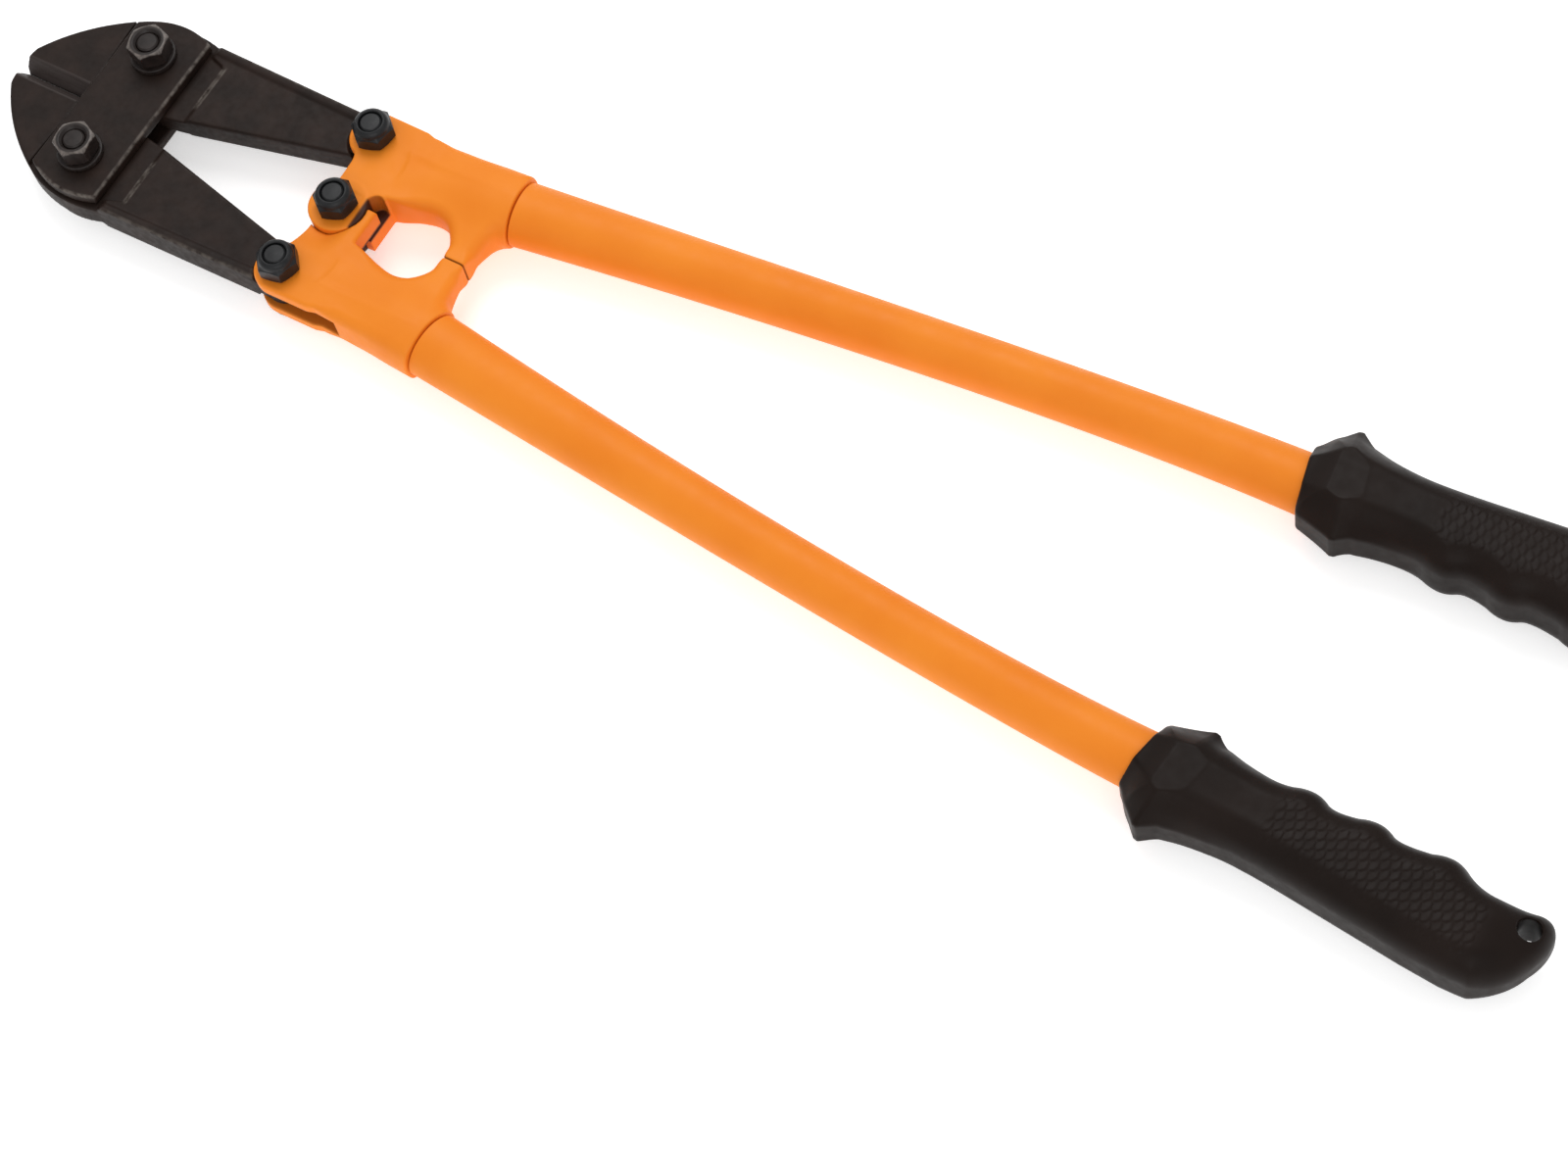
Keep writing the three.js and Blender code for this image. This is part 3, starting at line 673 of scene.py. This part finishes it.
def scales(x, y):
    """Height from 0 to 1 of overlapping moulded scales, in rows across the grip."""
    along, across = turned_frame(x, y, (400, 56), SCALE_SLANT)
    row = np.floor(along / SCALE_WIDTH)
    shift = 0.5 * (row % 2)
    middle = (np.floor(across / SCALE_LENGTH + shift) + 0.5 - shift) * SCALE_LENGTH
    back = along - row * SCALE_WIDTH
    side = (across - middle) / (0.5 * SCALE_LENGTH)
    edge = np.sqrt(np.maximum(1 - side ** 2, 0)) * SCALE_WIDTH
    return np.clip(back / SCALE_WIDTH, 0, 1) * (back < edge)


def scale_region(x, y):
    """1 on the textured field of a grip's face, 0 on its smooth border."""
    across = inside_outline(GRIP_OUTLINE, x, y)
    ends = np.minimum(x - 371, 441 - x)
    return smooth_step(np.minimum((-across - 4.8) / 1.5, ends / 2))


def collar_radius(along):
    """Radius of the eight-sided collar behind the grip's mouth."""
    stations = (0, 1.2, 12, COLLAR_RIDGE, 18, 24, 32, COLLAR_TAIL)
    return np.interp(along, stations, (12.9, 13.6, 20.8, 20.8, 16.8, 14.6, 12.4, 9))


def collar_half(along):
    """Half its thickness, which clears the tube at the mouth."""
    mouth = TUBE_HEIGHT_RADIUS + 1.6
    stations = (0, 12, COLLAR_RIDGE, 20, COLLAR_TAIL)
    return np.interp(along, stations, (mouth, GRIP_HALF, GRIP_HALF, GRIP_HALF - 2, 8))


def grip_field(x, y, z):
    half = POMMEL_HALF + (GRIP_HALF - 1 - POMMEL_HALF) * smooth_step((HANG_HOLE[0] - x) / 12)
    body = extrude(inside_outline(GRIP_OUTLINE, x, y), z, half, GRIP_ROUNDING)
    on_face = smooth_step((np.abs(z) - half + 3) / 2.5)
    body = body - SCALE_HEIGHT * scales(x, y) * scale_region(x, y) * on_face

    along, across = turned_frame(x, y, GRIP_FRONT, COLLAR_TILT)
    apothem = math.cos(math.pi / 8) * collar_radius(along)
    middle = COLLAR_SHIFT * smooth_step(along / 11)
    middle = middle - COLLAR_TILT * np.maximum(along - COLLAR_RIDGE, 0)
    wide = np.abs(across - middle)
    tall = np.abs(z) * apothem / collar_half(along)
    eight = common(common(wide, tall, 0.8), (wide + tall) * math.sqrt(0.5), 0.8)
    flare = 0.72                # evens out the field's slope, which the flare steepens
    collar = (eight - apothem) * flare
    collar = common(collar, -along, 0.8)
    collar = common(collar, along - COLLAR_TAIL, 0.8)
    body = common(join(body, collar, 5.0), np.abs(z) - GRIP_HALF)

    tube_rise = (TUBE_END_Y - TUBE_KNEE[1]) / (TUBE_END_X - TUBE_KNEE[0])
    axis_y = TUBE_KNEE[1] + (x - TUBE_KNEE[0]) * tube_rise
    flattening = KNEE_RADIUS / TUBE_HEIGHT_RADIUS
    bore = np.hypot(y - axis_y, z * flattening) - KNEE_RADIUS - GAP
    body = cut(body, np.maximum(bore, x - TUBE_END_X - 1), 0.6)
    return cut(body, disc(x, y, HANG_HOLE, HANG_HOLE_RADIUS), 0.8)


def add_grips(material):
    low = (GRIP_FRONT[0] - 6, reach("upper_grip", 0).y - 1, -GRIP_HALF)
    high = (GRIP_END_X, reach("upper_grip", 1).y + 1, GRIP_HALF)
    points, faces = surface(grip_field, low, high, FINE)
    for side in ("upper", "lower"):
        add_piece(f"{side}_grip", points, faces, f"{side}_handle", material,
                  turned_over=side == "lower")


# ------------------------------------------------------------------ fasteners

TURN_STEPS = 96


def hexagon_radius(angle):
    sixth = math.pi / 3
    return HEX_FLATS / 2 / math.cos((angle + sixth / 2) % sixth - sixth / 2)


def turned(profile, closed):
    """Mesh of a profile of (radius, height) points that may change with the angle."""
    rings = []
    for i in range(TURN_STEPS):
        angle = 2 * math.pi * i / TURN_STEPS
        rings.append([(radius * math.cos(angle), radius * math.sin(angle), height)
                      for radius, height in profile(angle)])
    rings = np.array(rings).transpose(1, 0, 2)
    return ring_grid(rings, closed)


def chamfered_top(angle, height, flat_radius):
    """Hexagon's rim cut by a 30 degree cone: from the side up to the flat top."""
    radius = hexagon_radius(angle)
    drop = (radius - flat_radius) * math.tan(math.radians(30))
    return [(radius, height - drop - 0.6), (radius, height - drop), (flat_radius, height)]


def plain_nut(height):
    hole = BOLT_RADIUS + 0.1

    def profile(angle):
        top = chamfered_top(angle, height, 6.2)
        bottom = [(r, height - z) for r, z in reversed(top)]
        return [(hole, 0.6), (hole + 0.6, 0), *bottom, *top, (5.7, height), (5.0, height),
                (hole + 0.25, height - 0.8), (hole, height - 1.0)]
    return turned(profile, closed=True)


def locking_nut(height):
    """Nut with a domed collar over a nylon ring."""
    hole = BOLT_RADIUS + 0.1
    shoulder = height - 2.4

    def profile(angle):
        bottom = [(r, shoulder - z) for r, z in reversed(chamfered_top(angle, shoulder, 6.15))]
        radius = hexagon_radius(angle)
        shown = (radius - 6.3) * 0.75
        top = [(radius, shoulder - shown), (radius - 0.2 - 0.3 * shown, shoulder - 0.3 * shown),
               (6.25, shoulder + 0.35)]
        dome = [(6.1, shoulder + 0.9), (5.85, shoulder + 1.45), (5.4, height - 0.45), (4.9, height - 0.15),
                (4.55, height), (4.3, height - 0.12), (hole, height - 0.35)]
        return [(hole, 0.6), (hole + 0.6, 0), *bottom, *top, *dome]
    return turned(profile, closed=True)


def bolt(under, top):
    """Hexagon head below `under` and a shank with a rolled thread up to `top`."""
    thread_start = top - THREAD_LENGTH

    def profile(angle):
        rim = [(r, under - z) for r, z in reversed(chamfered_top(angle, BOLT_HEAD, 6.2))]
        points = [(0.4, under - BOLT_HEAD), *rim, (hexagon_radius(angle), under), (BOLT_RADIUS, under)]
        for i in range(73):
            height = thread_start + (top - 0.8 - thread_start) * i / 72
            phase = (height / THREAD_PITCH - angle / (2 * math.pi)) % 1
            depth = 0.6 * min(abs(phase - 0.5) * 2, 0.85) * smooth_step((height - thread_start) / 1)
            points.append((BOLT_RADIUS - depth, height))
        return [*points, (BOLT_RADIUS - 0.15, top - 0.5), (BOLT_RADIUS - 0.75, top), (0.4, top + 0.1)]
    return turned(profile, closed=False)


def washer(thickness):
    def profile(angle):
        inner, outer, rim = BOLT_HOLE_RADIUS, WASHER_RADIUS, 0.3
        return [(inner, rim), (inner + rim, 0), (outer - rim, 0), (outer, rim), (outer, thickness - rim),
                (outer - rim, thickness), (inner + rim, thickness), (inner, thickness - rim)]
    return turned(profile, closed=True)


def add_fastener(node, mesh, pivot, low, turn, body, material, rims=()):
    """`rims` are the circles of (radius, height) whose edges are painted lighter, as wear and as painted
    highlight.
    """
    points, faces = mesh
    cos, sin = math.cos(turn), math.sin(turn)
    placed = np.stack([points[:, 0] * cos - points[:, 1] * sin + pivot[0],
                       points[:, 0] * sin + points[:, 1] * cos + pivot[1],
                       points[:, 2] + low], 1)
    piece = add_piece(node, placed, faces, body, material, sharp=32)
    radius = np.hypot(points[:, 0], points[:, 1])
    wear_and_highlight = np.zeros(len(points))
    for rim_radius, rim_height in rims:
        away = np.hypot(radius - rim_radius, points[:, 2] - rim_height)
        wear_and_highlight = np.maximum(wear_and_highlight, 1 - away / 0.45)
    mark(piece, "wear_and_highlight", wear_and_highlight)
    bevel = piece.modifiers.new("rounded_edges", "BEVEL")
    bevel.width = 0.18 * MM
    bevel.segments = 2
    bevel.limit_method = "ANGLE"
    bevel.angle_limit = math.radians(35)
    return piece


def add_fasteners(jaw_material, link_material):
    upper_jaw, upper_link = JAW_PIVOT.xy, LINK_PIVOT.xy
    places = (("upper_jaw", upper_jaw, 0.25, "head_plates"),
              ("lower_jaw", (upper_jaw[0], -upper_jaw[1]), 0.1, "head_plates"),
              ("upper_link", upper_link, 0.85, "upper_handle"),
              ("lower_link", (upper_link[0], -upper_link[1]), 0.7, "lower_handle"),
              ("hinge", (0, 0), 0.92, "lower_handle"))
    for name, pivot, turn, body in places:
        in_head = body == "head_plates"
        material = jaw_material if in_head else link_material
        low, high = reach(f"{name}_nut", 0).z, reach(f"{name}_nut", 1).z
        height = high - low
        nut = plain_nut(height) if in_head else locking_nut(height)
        # painted highlight on the jaw nuts' chamfer rims, with some wear
        rims = [(6.2, height), (6.7, height - 0.3), (7.2, height - 0.6)] if in_head else []
        add_fastener(f"{name}_nut", nut, pivot, low, turn, body, material, rims)
        under = reach(f"{name}_bolt", 0).z + BOLT_HEAD
        top = high - 0.3
        add_fastener(f"{name}_bolt", bolt(under, top), pivot, 0, turn, body, material)
        if in_head:
            low, high = reach(f"{name}_washer", 0).z, reach(f"{name}_washer", 1).z
            add_fastener(f"{name}_washer", washer(high - low), pivot, low, turn, body, material)


# ------------------------------------------------------------------ materials

class Paint:
    """A principled material with a small kit of procedural nodes."""

    def __init__(self, name, roughness, metallic=0.0, **inputs):
        self.material = bpy.data.materials.new(name)
        self.material.use_nodes = True
        self.tree = self.material.node_tree
        self.shader = self.tree.nodes["Principled BSDF"]
        self.shader.inputs["Roughness"].default_value = roughness
        self.shader.inputs["Metallic"].default_value = metallic
        for key, value in inputs.items():
            self.shader.inputs[key.replace("_", " ")].default_value = value
        self.place = self.node("ShaderNodeTexCoord").outputs["Object"]

    def node(self, kind, **settings):
        made = self.tree.nodes.new(kind)
        for key, value in settings.items():
            setattr(made, key, value)
        return made

    def link(self, output, socket):
        self.tree.links.new(output, socket)

    def noise(self, size_mm, detail=4.0, stretch=(1, 1, 1)):
        """Noise from 0 to 1 whose blotches are about `size_mm` across."""
        mapping = self.node("ShaderNodeMapping")
        mapping.inputs["Scale"].default_value = stretch
        self.link(self.place, mapping.inputs["Vector"])
        texture = self.node("ShaderNodeTexNoise")
        texture.inputs["Scale"].default_value = 1 / (size_mm * MM)
        texture.inputs["Detail"].default_value = detail
        self.link(mapping.outputs["Vector"], texture.inputs["Vector"])
        return texture.outputs["Fac"]

    def attribute(self, name):
        return self.node("ShaderNodeAttribute", attribute_name=name).outputs["Fac"]

    def ramp(self, value, low, high, bottom=0.0, top=1.0):
        """Maps low..high to bottom..top, clamped."""
        node = self.node("ShaderNodeMapRange")
        for key, number in (("From Min", low), ("From Max", high), ("To Min", bottom), ("To Max", top)):
            node.inputs[key].default_value = number
        self.link(value, node.inputs["Value"])
        return node.outputs["Result"]

    def mix(self, share, first, second):
        """Mixes two colours, each a tuple or an output, by an output from 0 to 1."""
        node = self.node("ShaderNodeMix", data_type="RGBA")
        self.link(share, node.inputs["Factor"])
        for socket, colour in (("A", first), ("B", second)):
            target = next(s for s in node.inputs if s.name == socket and s.type == "RGBA")
            if isinstance(colour, tuple):
                target.default_value = (*colour, 1)
            else:
                self.link(colour, target)
        return next(s for s in node.outputs if s.type == "RGBA")

    def both(self, first, second):
        """Product of two outputs."""
        node = self.node("ShaderNodeMath", operation="MULTIPLY")
        self.link(first, node.inputs[0])
        self.link(second, node.inputs[1])
        return node.outputs[0]

    def bump(self, height, strength, distance_mm):
        node = self.node("ShaderNodeBump")
        node.inputs["Strength"].default_value = strength
        node.inputs["Distance"].default_value = distance_mm * MM
        self.link(height, node.inputs["Height"])
        self.link(node.outputs["Normal"], self.shader.inputs["Normal"])

    def set(self, name, output):
        self.link(output, self.shader.inputs[name])


def orange_paint():
    paint = Paint("orange_powder_coat", 0.5, Specular_IOR_Level=0.18)
    clean, deep = (0.90, 0.262, 0.020), (0.86, 0.232, 0.015)
    colour = paint.mix(paint.ramp(paint.noise(26), 0.35, 0.7), clean, deep)
    # painted shade: the knuckle's slot, notch, lug seam and stop gap are darkened towards dark brown
    colour = paint.mix(paint.attribute("painted_shade"), colour, (0.045, 0.013, 0.006))
    paint.set("Base Color", colour)
    paint.set("Roughness", paint.ramp(paint.noise(5), 0.3, 0.7, 0.42, 0.56))
    paint.bump(paint.noise(1.1, 2.0), 0.12, 0.1)
    return paint.material


def black_steel():
    paint = Paint("black_forged_steel", 0.5, Specular_IOR_Level=0.17)
    dark, brown = (0.0130, 0.0075, 0.0056), (0.023, 0.0130, 0.0098)
    colour = paint.mix(paint.ramp(paint.noise(9), 0.35, 0.7), dark, brown)
    # marked edges are painted lighter: partly wear, partly painted highlight
    scuff_and_highlight = paint.both(paint.attribute("wear_and_highlight"), paint.ramp(paint.noise(2.5), 0.3, 0.62))
    colour = paint.mix(scuff_and_highlight, colour, (0.14, 0.12, 0.105))
    ground_grain = paint.ramp(paint.noise(1.2, 3.0, (0.08, 1, 1)), 0.3, 0.7, 0.5, 0.9)
    colour = paint.mix(paint.both(paint.attribute("ground"), ground_grain), colour, (0.062, 0.050, 0.047))
    paint.set("Base Color", colour)
    paint.set("Roughness", paint.ramp(paint.noise(2.2), 0.3, 0.7, 0.44, 0.62))
    paint.bump(paint.noise(0.7, 5.0), 0.25, 0.08)
    return paint.material


def black_fastener(name, dark, light):
    paint = Paint(name, 0.4, Specular_IOR_Level=0.28)
    colour = paint.mix(paint.ramp(paint.noise(3), 0.35, 0.7), dark, light)
    # marked rims are painted lighter: partly wear, partly painted highlight
    scuff_and_highlight = paint.both(paint.attribute("wear_and_highlight"), paint.ramp(paint.noise(1.6), 0.3, 0.6, 0.35, 1.0))
    colour = paint.mix(scuff_and_highlight, colour, (0.17, 0.145, 0.13))
    paint.set("Base Color", colour)
    paint.set("Roughness", paint.ramp(paint.noise(1.5), 0.3, 0.7, 0.3, 0.45))
    paint.bump(paint.noise(0.5, 3.0), 0.12, 0.05)
    return paint.material


def black_grip():
    paint = Paint("black_moulded_grip", 0.45, Specular_IOR_Level=0.1)
    dark, light = (0.0098, 0.0060, 0.0046), (0.0150, 0.0092, 0.0072)
    colour = paint.mix(paint.ramp(paint.noise(18), 0.3, 0.75), dark, light)
    paint.set("Base Color", colour)
    paint.set("Roughness", paint.ramp(paint.noise(4), 0.3, 0.7, 0.38, 0.5))
    paint.bump(paint.noise(0.6, 4.0), 0.2, 0.06)
    return paint.material


# ------------------------------------------------------------------ floor, lights and camera

def add_floor():
    size = 4.0
    below_tool = 0.2 * MM
    mesh = bpy.data.meshes.new("floor")
    corners = [(x * size, y * size, CAD_BOX[0].z - below_tool)
               for x, y in ((-1, -1), (1, -1), (1, 1), (-1, 1))]
    mesh.from_pydata(corners, [], [(0, 1, 2, 3)])
    floor = bpy.data.objects.new("floor", mesh)
    bpy.context.scene.collection.objects.link(floor)
    pale = bpy.data.materials.new("pale_floor")
    pale.use_nodes = True
    shader = pale.node_tree.nodes["Principled BSDF"]
    shader.inputs["Base Color"].default_value = (0.93, 0.93, 0.93, 1)
    shader.inputs["Roughness"].default_value = 0.9
    shader.inputs["Specular IOR Level"].default_value = 0.0
    shader.inputs["Emission Color"].default_value = (1, 1, 1, 1)
    shader.inputs["Emission Strength"].default_value = 0.5
    mesh.materials.append(pale)


def add_light(name, place, aim, size, power):
    light = bpy.data.lights.new(name, "AREA")
    light.shape = "DISK"
    light.size = size
    light.energy = power
    lamp = bpy.data.objects.new(name, light)
    lamp.location = place
    lamp.rotation_euler = (Vector(aim) - Vector(place)).to_track_quat("-Z", "Y").to_euler()
    bpy.context.scene.collection.objects.link(lamp)


def add_lights():
    add_light("key", (-0.5, 0.9, 1.6), (0, 0, 0), 1.2, 14)
    add_light("fill", (0.9, -1.2, 1.4), (0, 0, 0), 1.6, 8)
    world = bpy.data.worlds.new("studio")
    world.use_nodes = True
    background = world.node_tree.nodes["Background"]
    background.inputs["Color"].default_value = (1, 1, 1, 1)
    background.inputs["Strength"].default_value = 0.62
    bpy.context.scene.world = world


def add_camera():
    camera = bpy.data.cameras.new("camera")
    camera.sensor_width = 36
    camera.lens = 80.94
    placed = bpy.data.objects.new("camera", camera)
    placed.location = HINGE + Vector((567.07, -412.01, 959.56)) * MM
    placed.rotation_euler = Euler([math.radians(a) for a in (27.156, 7.573, 30.865)])
    bpy.context.scene.collection.objects.link(placed)
    bpy.context.scene.camera = placed


add_camera()
add_floor()
add_lights()
bpy.context.scene.view_settings.view_transform = "Standard"

steel = black_steel()
orange = orange_paint()
add_jaws(steel)
add_plates(steel)
add_knuckles(orange)
add_tubes(orange)
add_grips(black_grip())
add_fasteners(black_fastener("black_jaw_fastener", (0.014, 0.010, 0.009), (0.024, 0.017, 0.015)),
              black_fastener("black_link_fastener", (0.008, 0.0085, 0.0095), (0.015, 0.0155, 0.017)))
